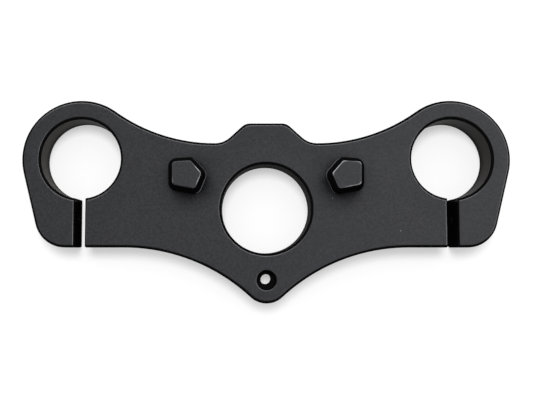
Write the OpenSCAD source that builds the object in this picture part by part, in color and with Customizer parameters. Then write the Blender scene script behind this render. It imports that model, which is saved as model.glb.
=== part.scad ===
// Triple clamp of a motorcycle: one milled and blasted black aluminium plate that holds two fork
// tubes in split clamps either side of a stem hole, with two steering stops on its upper face.
// The centre of the stem hole, half way through the plate, is the origin: +X is to the right, +Y
// to the front wheel and +Z up the steering axis. The right half is drawn and the left mirrors it.

/* [Plate] */
// Distance between the centres of the two fork bores
fork_pitch = 200; // [180:1:240]
// Distance of the fork centres ahead of the middle of the stem hole
fork_offset = 27; // [21:0.5:34]
// Thickness of the plate
plate_t = 20; // [16:0.5:26]
// Radius of the round along every outer edge and bore mouth
edge_r = 1.5; // [0.6:0.1:1.9]
// Diameter of the stem hole
stem_bore_d = 48; // [38:0.5:58]

/* [Fork clamps] */
// Diameter of the fork bores
fork_bore_d = 43; // [34:0.5:52]
// Wall of the clamp round the fork bore
clamp_wall = 10.3; // [8:0.1:13]
// Width of the slit that lets the clamp close
slit_w = 5.6; // [4.4:0.1:7]
// Radius of the round along the edges of the slit
slit_edge_r = 0.7; // [0.4:0.1:1.2]
// Length of the split ears behind the fork bore's wall
ear_l = 26.3; // [21:0.1:32]
// Lean of the ear's outer flank, in degrees
flank_lean = 14; // [8:0.5:20]
// Radius of the ear's outer corner
ear_corner_r = 16.5; // [12:0.5:20]

/* [Pinch bolts] */
// Distance of the pinch bolt's axis behind the fork bore's wall
bolt_behind = 10.4; // [8:0.1:13]
// Diameter of the clearance hole through the ear
bolt_clear_d = 6.4; // [5.2:0.1:8]
// Diameter of the pilot hole for the thread
bolt_pilot_d = 5; // [4:0.1:6]
// Length of the threaded pilot hole
bolt_thread_l = 18; // [14:0.5:22]
// Diameter of the counterbore for the bolt's head
bolt_head_d = 11; // [9:0.1:13.5]
// Thickness of the ear between the bolt's head and the slit
bolt_grip = 15; // [11:0.5:18]

/* [Front tab] */
// Distance of the waist beside the tab ahead of the middle of the stem hole
waist_y = 35.6; // [29:0.1:44]
// Radius of the waist where it rises to the tab
waist_r = 12; // [9:0.1:15]
// Rise of the tab's flat front from the waist
tab_rise = 10.8; // [8.5:0.1:13]
// Width of the tab's flat front
tab_flat_w = 17.2; // [13:0.2:21]
// Radius of the tab's corners
tab_corner_r = 6.6; // [5:0.1:8]
// Slope of the tab's flanks, in degrees
tab_slope = 42.5; // [34:0.5:51]

/* [Back point] */
// Distance of the small hole behind the middle of the stem hole
point_back = 38.2; // [34:0.1:46]
// Radius of the rounded point about the small hole
point_r = 12.4; // [9.5:0.1:15]
// Radius of the hollow curve from the point to the ears
hollow_r = 100.5; // [80:0.5:120]
// Diameter of the small hole
point_hole_d = 5.8; // [4:0.1:7]
// Diameter of the small hole's counterbore
point_cbore_d = 10.4; // [8.4:0.1:12.4]
// Depth of the small hole's counterbore
point_cbore_h = 8; // [5:0.5:12]
// Width of the chamfers on the small hole
point_chamfer = 0.6; // [0.3:0.1:0.9]

/* [Steering stops] */
// Distance of a stop's middle from the plate's middle
stop_x = 42.6; // [38:0.2:52]
// Distance of a stop's middle ahead of the middle of the stem hole
stop_y = 18.2; // [14:0.2:20]
// Distance of a stop's outer side from the stop's middle, at the foot
stop_outer = 9.5; // [8.4:0.1:11]
// Distance of a stop's front side from the stop's middle, at the foot
stop_front = 8.9; // [8.2:0.1:10.4]
// Distance of the bevelled side from the stop's middle, at the foot
stop_bevel = 8.4; // [7.6:0.1:9.4]
// Distance of a stop's inner side from the stop's middle, at the foot
stop_inner = 9.6; // [8.6:0.1:11]
// Distance of a stop's back side from the stop's middle, at the foot
stop_back = 9.2; // [8.2:0.1:10.6]
// Height of a stop above the plate
stop_h = 8; // [6:0.5:12]
// Draft of a stop's walls, in degrees
stop_draft = 17; // [4:0.5:20]
// Radius of a stop's upright corners at the foot
stop_corner_r = 4; // [3.2:0.1:4.6]
// Radius of the round along the edge of a stop's top
stop_top_r = 0.7; // [0.4:0.1:1.4]
// Radius of the fillet round a stop's foot
stop_foot_r = 0.7; // [0.3:0.1:1]

/* [Hidden] */
$fn = 96;
over = 2; // how far a cutter runs past the metal
round_steps = 3; // flats that make up the round of an edge
tip_angle = 118; // point of the drill that makes a pilot hole

// A stop has five sides, each [direction of its outward normal in degrees, distance from the
// stop's middle at the foot].
stop_sides = [[-1, stop_outer], [86.5, stop_front], [138.5, stop_bevel], [202.5, stop_inner],
    [281, stop_back]];
stop_corner_steps = 6;

clamp_r = fork_bore_d / 2 + clamp_wall;
fork_c = [fork_pitch / 2, fork_offset];
point_c = [0, -point_back];
back_y = fork_offset - fork_bore_d / 2 - ear_l;
bolt_y = fork_offset - fork_bore_d / 2 - bolt_behind;

function polar(r, a) = [r * cos(a), r * sin(a)];
function angle_of(v) = atan2(v.y, v.x);
function mirrored(p) = [-p.x, p.y];
function reversed(list) = [for (i = [len(list) - 1:-1:0]) list[i]];

// Hollow curve: it touches the point's circle and the line along the back of the ears.
hollow_y = back_y - hollow_r;
hollow_x = sqrt(pow(point_r + hollow_r, 2) - pow(hollow_y + point_back, 2));
hollow_c = [hollow_x, hollow_y];
point_a = angle_of(hollow_c - point_c);

// Ear corner: it touches the back line and the flank, and the flank touches the clamp's circle.
flank_n = polar(1, -flank_lean);
ear_cy = back_y + ear_corner_r;
ear_cx = (flank_n * fork_c + clamp_r - ear_corner_r - flank_n.y * ear_cy) / flank_n.x;

// Tab: its flank touches the corner's circle and the waist's circle, which fixes the waist.
tab_c = [tab_flat_w / 2, waist_y + tab_rise - tab_corner_r];
tab_n = polar(1, 90 - tab_slope);
waist_cy = waist_y + waist_r;
waist_cx = tab_c.x + (tab_corner_r + waist_r - tab_n.y * (waist_cy - tab_c.y)) / tab_n.x;

// Front sweep: it touches the clamp's circle and lies level where it meets the waist.
waist = [waist_cx, waist_y];
waist_v = waist - fork_c;
sweep_r = (waist_v * waist_v - clamp_r * clamp_r) / (2 * (clamp_r - waist_v.y));
sweep_c = waist + [0, sweep_r];
sweep_a = angle_of(sweep_c - fork_c);

// Arcs of the right half from the point to the tab: [centre, radius, first angle, last angle,
// steps, first step]. A hollow arc has a negative radius, as its centre is outside the metal. An
// arc that continues another one begins at step 1, because the arc before it gives that place.
POINT_ARC = [point_c, point_r, -90, point_a, 8, 0];
HOLLOW_ARC = [hollow_c, -hollow_r, point_a, -90, 20, 1];
EAR_ARC = [[ear_cx, ear_cy], ear_corner_r, -90, -flank_lean, 12, 0];
CLAMP_ARC = [fork_c, clamp_r, -flank_lean, sweep_a, 32, 0];
SWEEP_ARC = [sweep_c, -sweep_r, sweep_a, 90, 16, 1];
WAIST_ARC = [[waist_cx, waist_cy], -waist_r, 90, 90 - tab_slope, 5, 1];
TAB_ARC = [tab_c, tab_corner_r, 90 - tab_slope, 90, 6, 0];

function arc_points(arc, inset) =
    [for (i = [arc[5]:arc[4]]) arc[0] + polar(arc[1] - inset, arc[2] + (arc[3] - arc[2]) * i / arc[4])];

function half_outline(inset) = concat(
    arc_points(POINT_ARC, inset), arc_points(HOLLOW_ARC, inset),
    arc_points(EAR_ARC, inset), arc_points(CLAMP_ARC, inset),
    arc_points(SWEEP_ARC, inset), arc_points(WAIST_ARC, inset), arc_points(TAB_ARC, inset));

function outline(inset) =
    let (half = half_outline(inset), last = len(half) - 1)
    concat(half, [for (i = [last:-1:1]) mirrored(half[i])]);

// Steps along the round of an edge, from the face down to the wall: [inset, depth].
function round_steps_of(r) =
    [for (i = [0:round_steps]) let (a = 90 * i / round_steps) [r - r * sin(a), r - r * cos(a)]];

// A solid between closed rings of equal length, the lowest ring first. The caps list the index
// loops that fill a ring, counter-clockwise from above.
module rings_solid(rings, caps) {
    n = len(rings[0]);
    top = (len(rings) - 1) * n;
    walls = [for (j = [0:len(rings) - 2], i = [0:n - 1])
        let (a = j * n + i, b = j * n + (i + 1) % n) [a, a + n, b + n, b]];
    lids = [for (cap = caps) reversed([for (i = cap) top + i])];
    polyhedron([for (ring = rings) each ring], concat(caps, walls, lids), convexity = 6);
}

function level(points, z) = [for (p = points) [p.x, p.y, z]];

// The caps of the plate are strips across its middle, with one convex face at each clamp.
module plate_body() {
    last = len(half_outline(0)) - 1;
    strips = POINT_ARC[4] + HOLLOW_ARC[4];
    right = concat([for (i = [0:strips - 1]) [i, i + 1, last - i - 1, last - i]],
        [[for (i = [strips:last - strips]) i]]);
    left = [for (cap = right) reversed([for (i = cap) i == 0 ? 0 : 2 * last + 1 - i])];
    steps = round_steps_of(edge_r);
    rings = concat([for (s = steps) level(outline(s[0]), s[1])],
        [for (s = reversed(steps)) level(outline(s[0]), plate_t - s[1])]);
    rings_solid(rings, concat(right, left, [[0, last, last + 1]]));
}

// Corner centres of a stop: each lies one corner radius inside two neighbouring sides.
function stop_corner(i) =
    let (a = stop_sides[i], b = stop_sides[(i + 1) % len(stop_sides)],
        na = polar(1, a[0]), nb = polar(1, b[0]), det = na.x * nb.y - na.y * nb.x,
        da = a[1] - stop_corner_r, db = b[1] - stop_corner_r)
    [(da * nb.y - db * na.y) / det, (na.x * db - nb.x * da) / det];

function stop_ring(inset, z) =
    [for (i = [0:len(stop_sides) - 1], j = [0:stop_corner_steps])
        let (a = stop_sides[i][0], b = stop_sides[(i + 1) % len(stop_sides)][0],
            turn = (b - a + 360) % 360,
            p = stop_corner(i) + polar(stop_corner_r - inset, a + turn * j / stop_corner_steps))
        [stop_x + p.x, stop_y + p.y, plate_t + z]];

// A stop: fillet at the foot, drafted walls and a round along the edge of the top.
module stop() {
    top_z = stop_h - stop_top_r;
    wall_run = tan(stop_draft) * (top_z + stop_top_r * sin(stop_draft) - stop_foot_r);
    top_inset = stop_top_r * cos(stop_draft) + wall_run;
    foot = [for (i = [0:round_steps]) let (a = 90 * i / round_steps)
        [stop_foot_r * (sin(a) - 1), stop_foot_r * (1 - cos(a))]];
    top = [for (i = [0:round_steps]) let (a = stop_draft + (90 - stop_draft) * i / round_steps)
        [top_inset - stop_top_r * cos(a), top_z + stop_top_r * sin(a)]];
    rings = concat([stop_ring(-stop_foot_r, -over)],
        [for (s = concat(foot, top)) stop_ring(s[0], s[1])]);
    rings_solid(rings, [[for (i = [0:len(rings[0]) - 1]) i]]);
}

// Half section of a cutter through the plate that rounds the edges on both faces.
function through_section(half_w, r) =
    let (steps = round_steps_of(r))
    concat([[0, -over], [half_w + r, -over]],
        [for (s = steps) [half_w + s[0], s[1]]],
        [for (s = reversed(steps)) [half_w + s[0], plate_t - s[1]]],
        [[half_w + r, plate_t + over], [0, plate_t + over]]);

module bore(d) {
    rotate_extrude() polygon(through_section(d / 2, edge_r));
}

module slit() {
    half = through_section(slit_w / 2, slit_edge_r);
    translate([fork_c.x, fork_c.y, 0]) rotate([90, 0, 0])
        linear_extrude(fork_c.y - back_y + over) polygon(concat(half, reversed([for (p = half) mirrored(p)])));
    mouth_w = slit_w / 2 + slit_edge_r;
    translate([fork_c.x, back_y, -over]) linear_extrude(plate_t + 2 * over)
        polygon([[slit_w / 2, slit_edge_r], [-slit_w / 2, slit_edge_r],
            [-mouth_w - over, -over], [mouth_w + over, -over]]);
}

// Pinch bolt's holes: clearance and counterbore in the ear, pilot hole in the body.
module pinch_holes() {
    translate([fork_c.x, bolt_y, plate_t / 2]) rotate([0, 90, 0]) {
        cylinder(h = clamp_r + over, d = bolt_clear_d);
        translate([0, 0, slit_w / 2 + bolt_grip]) cylinder(h = clamp_r, d = bolt_head_d);
        mirror([0, 0, 1]) rotate_extrude() pilot_section();
    }
}

module pilot_section() {
    r = bolt_pilot_d / 2;
    depth = slit_w / 2 + bolt_thread_l;
    polygon([[0, 0], [r, 0], [r, depth], [0, depth + r / tan(tip_angle / 2)]]);
}

// Small hole of the back point: through hole, counterbore and a chamfer at each face.
module point_hole() {
    r = point_hole_d / 2;
    wide = point_cbore_d / 2;
    floor_z = plate_t - point_cbore_h;
    c = point_chamfer;
    translate(point_c) rotate_extrude()
        polygon([[0, -over], [r + c + over, -over], [r, c], [r, floor_z], [wide, floor_z],
            [wide, plate_t - c], [wide + c + over, plate_t + over], [0, plate_t + over]]);
}

module both_sides() {
    children();
    mirror([1, 0, 0]) children();
}

module clamp_plate() {
    color("dimgray") translate([0, 0, -plate_t / 2]) difference() {
        union() {
            plate_body();
            both_sides() stop();
        }
        bore(stem_bore_d);
        point_hole();
        both_sides() {
            translate(fork_c) bore(fork_bore_d);
            slit();
            pinch_holes();
        }
    }
}

clamp_plate();
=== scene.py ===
"""Looks of a motorcycle triple clamp: the black blasted finish of its plate, a white table, soft
studio light and a camera that looks down on it. Lengths are in metres, in the plate's own frame."""

import math

import bpy
from bpy.props import FloatProperty, FloatVectorProperty, PointerProperty
from bpy.types import Operator, Panel, PropertyGroup
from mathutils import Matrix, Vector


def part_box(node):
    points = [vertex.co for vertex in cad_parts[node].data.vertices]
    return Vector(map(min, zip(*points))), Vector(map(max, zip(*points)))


bl_info = {
    "name": "Triple clamp looks",
    "version": (1, 0, 0),
    "blender": (4, 5, 0),
    "location": "View3D > Sidebar > Triple clamp",
    "description": "Finish, table, light and camera of a milled triple clamp",
    "category": "Object",
}

PLATE = "clamp_plate"
SENSOR_W = 36.0  # the camera's sensor, in mm
NEAR, FAR = 0.01, 20.0  # what the camera sees lies between these distances
MM = 0.001
WELD_GAP = 0.002 * MM  # points closer than this are one point
CORNER_ANGLE = math.radians(36)  # an edge that turns more than this stays sharp
FULL_WEIGHT = 100  # large faces decide the normals alone
WHITE = (1.0, 1.0, 1.0, 1.0)

# Places on the plate, as in the CAD. The left half mirrors the right half.
FACE_Z = 0.01  # height of the upper face
FORK_PLACE = (0.1, 0.027, 0.0)  # middle of a fork bore
FORK_ZONE = 0.0225  # distance from a fork bore's middle within which its wall lies
STEM_ZONE = 0.025  # distance from the middle within which the stem bore's wall lies
SLIT_X = FORK_PLACE[0]  # a slit lies straight behind its fork bore
SLIT_HALF = 0.0045  # half the width in which a slit's walls lie
SLIT_START = 0.004  # where a fork bore ends and its slit begins
POINT_PLACE = (0.0, -0.0382, 0.0)  # middle of the small hole
POINT_HALF = 0.0055  # half the width in which the small hole's walls lie
POINT_RIM = (0.0052, 0.0058)  # radii of the chamfer round its counterbore
POINT_CLEAR = 0.0078  # distance from it beyond which edges get painted highlights, wear and painted shade
STOP_PLACE = (0.0426, 0.0182, 0.0)  # middle of a stop
STOP_CLEAR = 0.0132  # distance from it beyond which edges get painted highlights, wear and painted shade
STOP_ZONE = 0.0025  # height of the zone at the top of the stops
FOOT_ZONE = (0.02 * MM, 0.6 * MM)  # heights over the face between which a stop's foot is rounded

# Painted light and shade, and tones of the finish
LIGHT_X, LIGHT_Y = -0.75, 0.66  # direction from which edges catch most light
LEAN_X, LEAN_Y = 0.35, 0.55  # lean of the painted shade in the nooks, away from the middle and to the front
SAMPLES = 8  # rays of the nodes that look round a point
METAL_IOR, BLACK_IOR = 1.5, 1.0  # painted shade has no reflection: rounds, slits and nooks
GRAIN_TONES = (0.7, 1.3)  # black of the dimples and of the bumps
BORED_SIDE_LIGHT = (0.65, 1.25)  # painted light: bored walls that look to the left are darker, those to the right lighter
STEM_SHADE = 0.4  # painted shade on the stem bore's wall: how black it is
FORK_MATT, STEM_MATT = 0.7, 0.85  # how matt the bored walls are
ROUGH_SPAN = 0.1  # spread of the roughness from place to place
DIMPLE, DIMPLE_SHARE = 0.1 * MM, 0.4  # depth of the blasting, and how much of it shows
SPECKLESS, SPECK_SHARE = 0.86, 0.6  # share of places without a speck, and strength of one

# Noise: size as bumps in a metre, detail and roughness
CLOUDS = (28.0, 3.0, 0.55)
PATCHES = (95.0, 1.0, 0.5)
GRAIN_DETAIL = (2.0, 0.6)

# Limits and ramps over how far a surface looks up, from 0 for a wall to 1 for a level face. A ramp
# says from where to where it goes, and what it gives there if that isn't 0 and 1
WALL_UP = (0.05, 0.12, 1.0, 0.0)
ROUND_UP = (0.06, 0.16)
SLOPE_UP = (0.45, 0.6)
SLOPE_END = (0.9, 0.97, 1.0, 0.0)
RIM_UP = (0.998, 0.9999, 1.0, 0.0)
LEVEL_UP = 0.98
FACE_UP, STOP_UP = 0.993, 0.5  # the faces begin here, and the stops' rounded tops
SLIT_SIDE = 0.7  # a slit's wall looks to the side by more than this

# Ramps over how much a bit of the finish is lit, clouded, patchy, grainy or open to the light
LIT = (0.05, 0.3)
CLOUDY = (0.35, 0.65)
PATCHY = (0.46, 0.58, 0.1, 1.6)
GRAINY = (0.25, 0.75)
SPECK = (0.02, 0.035, 1.0, 0.0)
OPEN = (0.52, 0.98, 0.06, 1.0)

# Painted highlights on the stops' rims, their feet and the small hole's chamfer, with random wear on
# the rims
RIM_RIGHT, RIM_CLOUD = 0.8, 0.7  # painted highlight on rims that look to the right, and random wear on any
STOP_TOP_PALE = 0.02  # paler tone over the stops' tops
RING = (-0.7, 0.6, 0.1, 0.5)  # over how far the chamfer looks to the front right
FOOT_INWARD = (0.1, 0.4, 0.0, 0.65)  # over how far the foot looks to the plate's middle
FOOT_LIT = (0.3, 0.8, 0.15, 1.0)
PALE_LIMIT = 0.05  # a round with a painted highlight gets no painted shade

# The plate's edges, for their painted highlights and painted shade: tilt of the softened normal, then
# ramps over where an edge looks
LEAST_TILT = 0.02
TILT_PALE, TILT_DULL = (0.05, 0.16), (0.03, 0.16)
TO_FRONT, TO_RIGHT = (0.2, 0.9), (0.05, 0.4)
TO_BACK, TO_LEFT = (-0.9, -0.4, 0.9, 0.0), (-0.9, -0.4, 0.6, 0.0)
EDGE_HIGHLIGHT_AND_WEAR, EDGE_RIGHT, EDGE_CLOUD = 0.95, 0.65, 0.3  # strength of the painted highlights and wear on all edges, of the highlight on edges that look right, and of random wear

# The sky: parts of it over which its light grows
SHEEN_X = (-0.15, 0.8)  # the sheen, from left to right
SKY_Y = (-0.5, 0.6)  # all of its light, from back to front

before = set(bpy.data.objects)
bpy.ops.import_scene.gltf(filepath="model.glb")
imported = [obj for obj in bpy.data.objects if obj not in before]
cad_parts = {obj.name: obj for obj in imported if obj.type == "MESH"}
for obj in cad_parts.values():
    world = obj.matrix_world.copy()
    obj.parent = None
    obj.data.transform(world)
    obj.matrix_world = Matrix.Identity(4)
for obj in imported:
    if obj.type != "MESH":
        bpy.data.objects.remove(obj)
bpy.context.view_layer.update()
plate_low, plate_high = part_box(PLATE)


class PlateFinish(PropertyGroup):
    """Colours and grain of the anodised plate."""

    black: FloatVectorProperty(
        name="Black", description="Colour of the anodised metal",
        subtype="COLOR", size=3, min=0.0, max=1.0, default=(0.018, 0.0185, 0.0217))
    # Painted highlights on edges, rims and rounds, and random wear, take this colour.
    wear_and_highlight: FloatVectorProperty(
        name="Rubbed edge", description="Colour where handling has rubbed the edges",
        subtype="COLOR", size=3, min=0.0, max=1.0, default=(0.23, 0.23, 0.24))
    bored: FloatVectorProperty(
        name="Bored wall", description="Colour of the bored walls, warmer than the faces",
        subtype="COLOR", size=3, min=0.0, max=1.0, default=(0.031, 0.0275, 0.0255))
    # Painted shade: the rounds, slits, hole walls, stop walls and nooks darken to this black.
    shade_black: FloatVectorProperty(
        name="Deep black", description="Colour of the rounds, the slits and the walls of the stops",
        subtype="COLOR", size=3, min=0.0, max=1.0, default=(0.0032, 0.0032, 0.0034))
    dust: FloatVectorProperty(
        name="Dust", description="Colour of the pale specks",
        subtype="COLOR", size=3, min=0.0, max=1.0, default=(0.35, 0.35, 0.34))
    # Reach of the painted shade in the nooks round the stops.
    nook_shade_reach: FloatProperty(
        name="Nook", description="Reach of the darker tone in the nooks, such as round a stop's foot",
        unit="LENGTH", min=0.0005, max=0.05, default=0.014)
    # Reach of the edge band that gets painted highlights and painted shade.
    rim_reach: FloatProperty(
        name="Rim reach", description="Reach of the rubbed line along the edges",
        unit="LENGTH", min=0.0001, max=0.005, default=0.0012)
    sheen: FloatProperty(
        name="Sheen", description="Strength of the highlight on the blasted faces",
        min=0.0, max=1.0, default=0.5)
    roughness: FloatProperty(
        name="Roughness", description="Roughness of the blasted faces",
        min=0.0, max=1.0, default=0.5)
    grain: FloatProperty(
        name="Grain", description="Size of one dimple of the blasting",
        unit="LENGTH", min=0.0001, max=0.005, default=0.0012)
    speck: FloatProperty(
        name="Speck spacing", description="Distance between the pale specks of dust and wear",
        unit="LENGTH", min=0.001, max=0.1, default=0.009)


class StageLook(PropertyGroup):
    """Table, lamp and sky."""

    table: FloatVectorProperty(
        name="Table", description="Colour of the table",
        subtype="COLOR", size=3, min=0.0, max=1.0, default=(0.86, 0.86, 0.86))
    table_w: FloatProperty(
        name="Table width", description="Width of the table",
        unit="LENGTH", min=0.5, max=20.0, default=6.0)
    glow: FloatProperty(
        name="Glow", description="Share of the table's white that shadows leave untouched",
        min=0.0, max=1.0, default=0.48)
    sky: FloatProperty(
        name="Sky", description="Strength of the soft light from all sides",
        min=0.0, max=3.0, default=0.72)
    sky_left: FloatProperty(
        name="Sky at the left", description="Strength of the sheen that comes from the left",
        min=0.0, max=3.0, default=0.34)
    sky_right: FloatProperty(
        name="Sky at the right", description="Strength of the sheen that comes from the right",
        min=0.0, max=3.0, default=1.6)
    sky_front: FloatProperty(
        name="Sky in front", description="Share of the soft light that comes from the front",
        min=0.0, max=3.0, default=1.5)
    sky_back: FloatProperty(
        name="Sky behind", description="Share of the soft light that comes from behind",
        min=0.0, max=3.0, default=0.5)
    key_power: FloatProperty(
        name="Key lamp", description="Power of the lamp beyond the front tab",
        unit="POWER", min=0.0, max=100.0, default=7.45)
    key_size: FloatProperty(
        name="Key size", description="Width of the lamp: a larger one softens the shadow",
        unit="LENGTH", min=0.01, max=3.0, default=0.32)
    key_place: FloatVectorProperty(
        name="Key place", description="Place of the lamp over the plate",
        subtype="TRANSLATION", size=3, default=(-0.03, 0.225, 0.97))


class CameraPlace(PropertyGroup):
    """Place and lens of the camera."""

    place: FloatVectorProperty(
        name="Place", description="Place of the camera over the plate",
        subtype="TRANSLATION", size=3, default=(-0.0169, -0.0211, 0.388))
    tilt: FloatProperty(
        name="Tilt", description="Tilt of the camera towards the front tab",
        subtype="ANGLE", default=math.radians(3.9))
    lens: FloatProperty(
        name="Lens", description="Focal length",
        min=10.0, max=200.0, default=47.7)
    shift: FloatProperty(
        name="Shift", description="Sideways shift of the lens, as a share of the image's width",
        min=-0.2, max=0.2, default=0.0595)


class NodeSheet:
    """A node tree with short calls for adding and joining nodes."""

    def __init__(self, tree):
        self.tree = tree
        self.tree.nodes.clear()

    def add(self, kind, inputs=None, **settings):
        node = self.tree.nodes.new(kind)
        for name, value in settings.items():
            setattr(node, name, value)
        for name, value in (inputs or {}).items():
            self.feed(node.inputs[name], value)
        return node

    def feed(self, socket, value):
        if isinstance(value, bpy.types.NodeSocket):
            self.tree.links.new(value, socket)
        else:
            socket.default_value = value

    def maths(self, operation, *values, clamp=False):
        node = self.add("ShaderNodeMath", operation=operation, use_clamp=clamp)
        for socket, value in zip(node.inputs, values):
            self.feed(socket, value)
        return node.outputs[0]

    def product(self, first, *others):
        for other in others:
            first = self.maths("MULTIPLY", first, other)
        return first

    def largest(self, first, *others):
        for other in others:
            first = self.maths("MAXIMUM", first, other)
        return first

    def rest(self, share):
        return self.maths("SUBTRACT", 1.0, share)

    def over(self, value, limit):
        return self.maths("GREATER_THAN", value, limit)

    def under(self, value, limit):
        return self.maths("LESS_THAN", value, limit)

    def parts(self, vector):
        return self.add("ShaderNodeSeparateXYZ", {"Vector": vector}).outputs

    def flat(self, x, y):
        return self.add("ShaderNodeCombineXYZ", {"X": x, "Y": y, "Z": 0.0}).outputs["Vector"]

    def vector(self, operation, *values):
        node = self.add("ShaderNodeVectorMath", dict(enumerate(values)), operation=operation)
        return node.outputs["Value" if operation in ("LENGTH", "DISTANCE") else "Vector"]

    def noise(self, place, scale, detail, roughness):
        return self.add("ShaderNodeTexNoise", {
            "Vector": place, "Scale": scale, "Detail": detail, "Roughness": roughness}).outputs["Fac"]

    def ramp(self, value, low, high, start=0.0, end=1.0):
        node = self.add("ShaderNodeMapRange", {
            "Value": value, "From Min": low, "From Max": high, "To Min": start, "To Max": end},
            interpolation_type="SMOOTHSTEP")
        return node.outputs["Result"]

    def blend(self, share, first, second):
        node = self.add("ShaderNodeMix", data_type="RGBA")
        self.feed(node.inputs["Factor"], share)
        self.feed(node.inputs["A"], first)
        self.feed(node.inputs["B"], second)
        return node.outputs["Result"]


def opaque(colour, strength=1.0):
    """A colour times a strength, with full alpha."""
    return (*(strength * value for value in colour), 1.0)


class Spot:
    """Where a point of the plate lies and which way it faces, as sockets of the node tree."""

    def __init__(self, sheet):
        self.place = sheet.add("ShaderNodeTexCoord").outputs["Object"]
        self.normal = sheet.add("ShaderNodeNewGeometry").outputs["Normal"]
        self.across = sheet.parts(self.place)
        self.facing = sheet.parts(self.normal)
        self.up = sheet.maths("ABSOLUTE", self.facing["Z"])
        self.side = sheet.maths("SIGN", self.across["X"])
        self.cloud = sheet.noise(self.place, *CLOUDS)
        self.lit = sheet.maths("ADD", sheet.product(self.facing["Y"], LIGHT_Y),
                               sheet.product(self.facing["X"], LIGHT_X))
        self.wall = sheet.ramp(self.up, *WALL_UP)
        self.sloped = sheet.product(sheet.ramp(self.up, *SLOPE_UP), sheet.ramp(self.up, *SLOPE_END))
        self.find_stops(sheet)
        self.find_holes(sheet)

    def find_stops(self, sheet):
        """The stops' tops and feet, and the faces of the plate and the stops."""
        self.on_stop = sheet.over(self.across["Z"], plate_high.z - STOP_ZONE)
        self.face_from = sheet.ramp(self.on_stop, 0.0, 1.0, FACE_UP, STOP_UP)
        self.on_top = sheet.over(self.up, self.face_from)
        over_face = sheet.maths("SUBTRACT", self.across["Z"], FACE_Z)
        self.at_foot = sheet.product(
            sheet.over(over_face, FOOT_ZONE[0]), sheet.under(over_face, FOOT_ZONE[1]), self.sloped)

    def find_holes(self, sheet):
        """The walls of the bores, the slits and the small hole, and how far off holes and stops are."""
        plan = sheet.flat(self.across["X"], self.across["Y"])
        half_plan = sheet.vector("ABSOLUTE", plan)
        self.from_point = sheet.vector("DISTANCE", plan, POINT_PLACE)
        self.from_stop = sheet.vector("DISTANCE", half_plan, STOP_PLACE)
        from_slit = sheet.maths("SUBTRACT", sheet.maths("ABSOLUTE", self.across["X"]), SLIT_X)
        in_slit = sheet.product(
            sheet.under(sheet.maths("ABSOLUTE", from_slit), SLIT_HALF),
            sheet.under(self.across["Y"], SLIT_START),
            sheet.over(sheet.maths("ABSOLUTE", self.facing["X"]), SLIT_SIDE))
        in_point = sheet.under(self.from_point, POINT_HALF)
        # Walls of the slits and the small hole, which get painted shade.
        self.recess_shade = sheet.product(sheet.largest(in_slit, in_point), self.wall)
        self.in_stem = sheet.product(sheet.under(sheet.vector("LENGTH", plan), STEM_ZONE), self.wall)
        from_fork = sheet.vector("DISTANCE", half_plan, FORK_PLACE)
        in_fork = sheet.product(sheet.under(from_fork, FORK_ZONE), self.wall)
        self.in_bore = sheet.largest(self.in_stem, in_fork)


def pale_specks(sheet, spot, spacing):
    """Shares of the few pale specks of dust and wear."""
    dots = sheet.add("ShaderNodeTexVoronoi", {"Vector": spot.place, "Scale": 1.0 / spacing})
    chance = sheet.add("ShaderNodeSeparateColor", {"Color": dots.outputs["Color"]}).outputs["Red"]
    return sheet.product(sheet.ramp(dots.outputs["Distance"], *SPECK), sheet.over(chance, SPECKLESS))


def stop_rims(sheet, spot):
    """The thin rims of the stops' tops, and how pale each bit of them is: painted highlight where a rim
    looks to the light or to the right, and random wear in patches.
    """
    rim = sheet.product(spot.on_top, sheet.ramp(spot.up, *RIM_UP), spot.on_stop)
    highlight_and_wear = sheet.largest(
        sheet.ramp(spot.lit, *LIT),
        sheet.product(sheet.ramp(spot.facing["X"], *LIT), RIM_RIGHT),
        sheet.product(sheet.ramp(spot.cloud, *CLOUDY), RIM_CLOUD))
    patches = sheet.noise(spot.place, *PATCHES)
    return rim, sheet.product(sheet.ramp(patches, *PATCHY), highlight_and_wear)


def plate_edges(sheet, spot, reach):
    """Painted highlights, with some random wear, just inside the edges that look to the front or right,
    and painted shade at the others.
    """
    turned = sheet.add("ShaderNodeBevel", {"Radius": reach}, samples=SAMPLES).outputs["Normal"]
    turned = sheet.parts(turned)
    tilt = sheet.largest(sheet.vector("LENGTH", sheet.flat(turned["X"], turned["Y"])), LEAST_TILT)
    to_right = sheet.maths("DIVIDE", turned["X"], tilt)
    to_front = sheet.maths("DIVIDE", turned["Y"], tilt)
    on_face = sheet.product(
        spot.on_top, sheet.rest(spot.on_stop),
        sheet.over(spot.from_point, POINT_CLEAR), sheet.over(spot.from_stop, STOP_CLEAR))
    highlight_and_wear = sheet.largest(
        sheet.ramp(to_front, *TO_FRONT),
        sheet.product(sheet.ramp(to_right, *TO_RIGHT), EDGE_RIGHT),
        sheet.product(sheet.ramp(spot.cloud, *CLOUDY), EDGE_CLOUD))
    pale = sheet.product(sheet.ramp(tilt, *TILT_PALE), on_face, highlight_and_wear, EDGE_HIGHLIGHT_AND_WEAR)
    dull = sheet.largest(sheet.ramp(to_front, *TO_BACK), sheet.ramp(to_right, *TO_LEFT))
    return pale, sheet.product(dull, sheet.ramp(tilt, *TILT_DULL), on_face)


def painted_round_highlights(sheet, spot):
    """Painted highlights on the small hole's chamfer and at the inner side of a stop's foot."""
    ring = sheet.product(
        sheet.under(spot.from_point, POINT_RIM[1]), sheet.ramp(spot.from_point, *POINT_RIM),
        spot.sloped, sheet.ramp(sheet.maths("ADD", spot.facing["X"], spot.facing["Y"]), *RING))
    inward = sheet.product(spot.facing["X"], spot.side, -1.0)
    foot = sheet.product(
        spot.at_foot, sheet.ramp(inward, *FOOT_INWARD),
        sheet.ramp(sheet.maths("ABSOLUTE", spot.lit), *FOOT_LIT))
    return sheet.largest(ring, foot)


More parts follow.
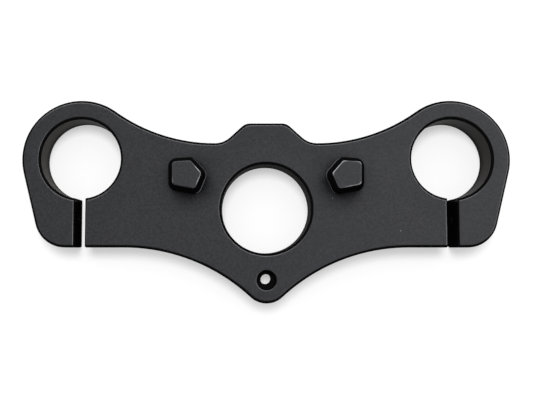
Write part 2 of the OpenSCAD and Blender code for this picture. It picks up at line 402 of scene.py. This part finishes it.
def painted_nook_shade(sheet, spot, reach):
    """Share of the colour kept against painted shade round the stops: lower on the level faces behind
    and inside of the stops.
    """
    level = sheet.over(spot.up, LEVEL_UP)
    lean = sheet.flat(sheet.product(spot.side, LEAN_X, level), sheet.product(level, LEAN_Y))
    leaning = sheet.vector("NORMALIZE", sheet.vector("ADD", spot.normal, lean))
    light = sheet.add("ShaderNodeAmbientOcclusion", {
        "Distance": reach, "Normal": leaning}, samples=SAMPLES).outputs["AO"]
    return sheet.ramp(light, *OPEN)


def anodised_black(finish):
    """Black anodising over fine blasting, warmer on the bored walls, with random wear and pale specks,
    painted highlights on edges, rims and rounds, and painted shade in rounds, slits, bores, nooks and
    on edges that look back or left.
    """
    material = bpy.data.materials.new("black_anodised")
    material.use_nodes = True
    sheet = NodeSheet(material.node_tree)
    spot = Spot(sheet)
    rim, rim_highlight_and_wear = stop_rims(sheet, spot)
    edge_highlight_and_wear, painted_edge_shade = plate_edges(sheet, spot, finish.rim_reach)
    painted_round_highlight = painted_round_highlights(sheet, spot)
    # Painted highlights on rims, edges and rounds, a paler tone on the stops' tops, and random wear.
    wear_and_highlight = sheet.largest(
        sheet.product(rim, rim_highlight_and_wear), sheet.product(spot.on_stop, STOP_TOP_PALE), edge_highlight_and_wear, painted_round_highlight)
    # Painted shade: rounds, the slits, the small hole and the stem bore's wall go black.
    painted_round_shade = sheet.product(sheet.ramp(spot.up, *ROUND_UP), sheet.under(spot.up, spot.face_from))
    painted_round_shade = sheet.maths("SUBTRACT", painted_round_shade, sheet.over(painted_round_highlight, PALE_LIMIT), clamp=True)
    painted_shade = sheet.largest(painted_round_shade, spot.recess_shade, sheet.product(spot.in_stem, STEM_SHADE))
    # Painted light and shade in the colour: darker in the nooks round the stops and at edges that look
    # back or left, kept bright on the stops' lit rims.
    light = painted_nook_shade(sheet, spot, finish.nook_shade_reach)
    light = sheet.largest(light, sheet.product(rim, sheet.ramp(spot.lit, *LIT)))
    light = sheet.product(light, sheet.rest(painted_edge_shade))

    grain = sheet.noise(spot.place, 1.0 / finish.grain, *GRAIN_DETAIL)
    colour = sheet.blend(sheet.ramp(grain, *GRAINY),
                         *(opaque(finish.black, tone) for tone in GRAIN_TONES))
    colour = sheet.blend(wear_and_highlight, colour, opaque(finish.wear_and_highlight))
    # Painted light: bored walls that look right are lighter, those that look left darker.
    bored = sheet.blend(sheet.ramp(spot.facing["X"], -1.0, 1.0),
                        *(opaque(finish.bored, tone) for tone in BORED_SIDE_LIGHT))
    colour = sheet.blend(spot.in_bore, colour, bored)
    colour = sheet.blend(painted_shade, colour, opaque(finish.shade_black))
    specks = sheet.product(pale_specks(sheet, spot, finish.speck), SPECK_SHARE)
    colour = sheet.blend(specks, colour, opaque(finish.dust))
    # The painted shade darkens the colour towards black.
    colour = sheet.blend(light, opaque(finish.shade_black), colour)
    rough = sheet.maths("ADD", finish.roughness - ROUGH_SPAN / 2, sheet.product(spot.cloud, ROUGH_SPAN))
    # Painted shade also loses its reflection.
    matt = sheet.largest(painted_shade, sheet.product(spot.in_bore, FORK_MATT),
                         sheet.product(spot.in_stem, STEM_MATT), sheet.rest(light))
    bump = sheet.add("ShaderNodeBump", {"Strength": DIMPLE_SHARE, "Distance": DIMPLE, "Height": grain})

    surface = sheet.add("ShaderNodeBsdfPrincipled", {
        "Base Color": colour, "Roughness": rough, "Normal": bump.outputs["Normal"],
        "IOR": sheet.ramp(matt, 0.0, 1.0, METAL_IOR, BLACK_IOR), "Specular IOR Level": finish.sheen})
    output = sheet.add("ShaderNodeOutputMaterial")
    sheet.feed(output.inputs["Surface"], surface.outputs["BSDF"])
    return material


def white_table(look):
    """Matt white paper that keeps part of its white where shadows fall."""
    material = bpy.data.materials.new("white_table")
    material.use_nodes = True
    sheet = NodeSheet(material.node_tree)
    path = sheet.add("ShaderNodeLightPath").outputs
    seen = sheet.largest(path["Is Camera Ray"], path["Is Glossy Ray"], path["Is Transmission Ray"])
    paper = sheet.add("ShaderNodeBsdfDiffuse", {"Color": opaque(look.table)})
    glow = sheet.add("ShaderNodeEmission", {"Color": WHITE, "Strength": 1.0})
    surface = sheet.add("ShaderNodeMixShader", {"Fac": sheet.product(seen, look.glow)})
    sheet.feed(surface.inputs[1], paper.outputs["BSDF"])
    sheet.feed(surface.inputs[2], glow.outputs["Emission"])
    output = sheet.add("ShaderNodeOutputMaterial")
    sheet.feed(output.inputs["Surface"], surface.outputs["Shader"])
    return material


class TRIPLECLAMP_OT_plate_finish(Operator):
    """Give the plate its black anodised finish and smooth its rounds"""

    bl_idname = "tripleclamp.plate_finish"
    bl_label = "Finish the plate"

    def execute(self, context):
        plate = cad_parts[PLATE]
        for polygon in plate.data.polygons:
            polygon.use_smooth = True
        plate.data.materials.clear()
        plate.data.materials.append(anodised_black(context.scene.plate_finish))
        weld = plate.modifiers.new("join_facets", "WELD")
        weld.merge_threshold = WELD_GAP
        split = plate.modifiers.new("keep_corners", "EDGE_SPLIT")
        split.split_angle = CORNER_ANGLE
        split.use_edge_sharp = False
        flat = plate.modifiers.new("flat_faces", "WEIGHTED_NORMAL")
        flat.mode = "FACE_AREA"
        flat.weight = FULL_WEIGHT
        flat.keep_sharp = True
        return {"FINISHED"}


class TRIPLECLAMP_OT_stage(Operator):
    """Lay the white table under the plate and hang the lamp and the sky"""

    bl_idname = "tripleclamp.stage"
    bl_label = "Set the stage"

    def execute(self, context):
        look = context.scene.stage_look
        half = look.table_w / 2
        mesh = bpy.data.meshes.new("table")
        corners = [(-half, -half), (half, -half), (half, half), (-half, half)]
        mesh.from_pydata([(x, y, plate_low.z) for x, y in corners], [], [(0, 1, 2, 3)])
        mesh.materials.append(white_table(look))
        table = bpy.data.objects.new("table", mesh)
        context.scene.collection.objects.link(table)
        self.hang_key(context, look)
        self.light_sky(context, look)
        return {"FINISHED"}

    def hang_key(self, context, look):
        lamp = bpy.data.lights.new("key_lamp", "AREA")
        lamp.shape = "DISK"
        lamp.size = look.key_size
        lamp.energy = look.key_power
        key = bpy.data.objects.new("key_lamp", lamp)
        key.location = look.key_place
        key.rotation_euler = (-key.location).to_track_quat("-Z", "Y").to_euler()
        key.visible_glossy = False
        context.scene.collection.objects.link(key)

    def light_sky(self, context, look):
        world = bpy.data.worlds.new("studio")
        world.use_nodes = True
        sheet = NodeSheet(world.node_tree)
        toward = sheet.parts(sheet.add("ShaderNodeTexCoord").outputs["Generated"])
        path = sheet.add("ShaderNodeLightPath").outputs
        sheen = sheet.ramp(toward["X"], *SHEEN_X, look.sky_left, look.sky_right)
        strength = sheet.add("ShaderNodeMix", {
            "Factor": path["Is Glossy Ray"], "A": look.sky, "B": sheen}).outputs["Result"]
        strength = sheet.product(
            strength, sheet.ramp(toward["Y"], *SKY_Y, look.sky_back, look.sky_front))
        strength = sheet.add("ShaderNodeMix", {
            "Factor": path["Is Camera Ray"], "A": strength, "B": 1.0}).outputs["Result"]
        glow = sheet.add("ShaderNodeBackground", {"Color": WHITE, "Strength": strength})
        output = sheet.add("ShaderNodeOutputWorld")
        sheet.feed(output.inputs["Surface"], glow.outputs["Background"])
        context.scene.world = world


class TRIPLECLAMP_OT_camera(Operator):
    """Set up the camera over the plate"""

    bl_idname = "tripleclamp.camera"
    bl_label = "Place the camera"

    def execute(self, context):
        view = context.scene.camera_place
        lens = bpy.data.cameras.new("view")
        lens.sensor_width = SENSOR_W
        lens.lens = view.lens
        lens.shift_x = view.shift
        lens.clip_start = NEAR
        lens.clip_end = FAR
        camera = bpy.data.objects.new("view", lens)
        camera.location = view.place
        camera.rotation_euler = (view.tilt, 0.0, 0.0)
        context.scene.collection.objects.link(camera)
        context.scene.camera = camera
        context.scene.view_settings.view_transform = "Standard"
        return {"FINISHED"}


class TRIPLECLAMP_PT_looks(Panel):
    """Sizes and colours of the looks, and the steps that make them"""

    bl_label = "Triple clamp"
    bl_idname = "TRIPLECLAMP_PT_looks"
    bl_space_type = "VIEW_3D"
    bl_region_type = "UI"
    bl_category = "Triple clamp"

    def draw(self, context):
        steps = {"plate_finish": "tripleclamp.plate_finish", "stage_look": "tripleclamp.stage",
                 "camera_place": "tripleclamp.camera"}
        for group_name, operator in steps.items():
            group = getattr(context.scene, group_name)
            box = self.layout.box()
            for key in group.__annotations__:
                box.prop(group, key)
            box.operator(operator)


GROUPS = {"plate_finish": PlateFinish, "stage_look": StageLook, "camera_place": CameraPlace}
CLASSES = (PlateFinish, StageLook, CameraPlace, TRIPLECLAMP_OT_plate_finish, TRIPLECLAMP_OT_stage,
           TRIPLECLAMP_OT_camera, TRIPLECLAMP_PT_looks)


def register():
    for cls in CLASSES:
        bpy.utils.register_class(cls)
    for name, group in GROUPS.items():
        setattr(bpy.types.Scene, name, PointerProperty(type=group))


def unregister():
    for name in GROUPS:
        delattr(bpy.types.Scene, name)
    for cls in reversed(CLASSES):
        bpy.utils.unregister_class(cls)


def main():
    register()
    bpy.ops.tripleclamp.plate_finish()
    bpy.ops.tripleclamp.stage()
    bpy.ops.tripleclamp.camera()


if __name__ == "__main__":
    main()
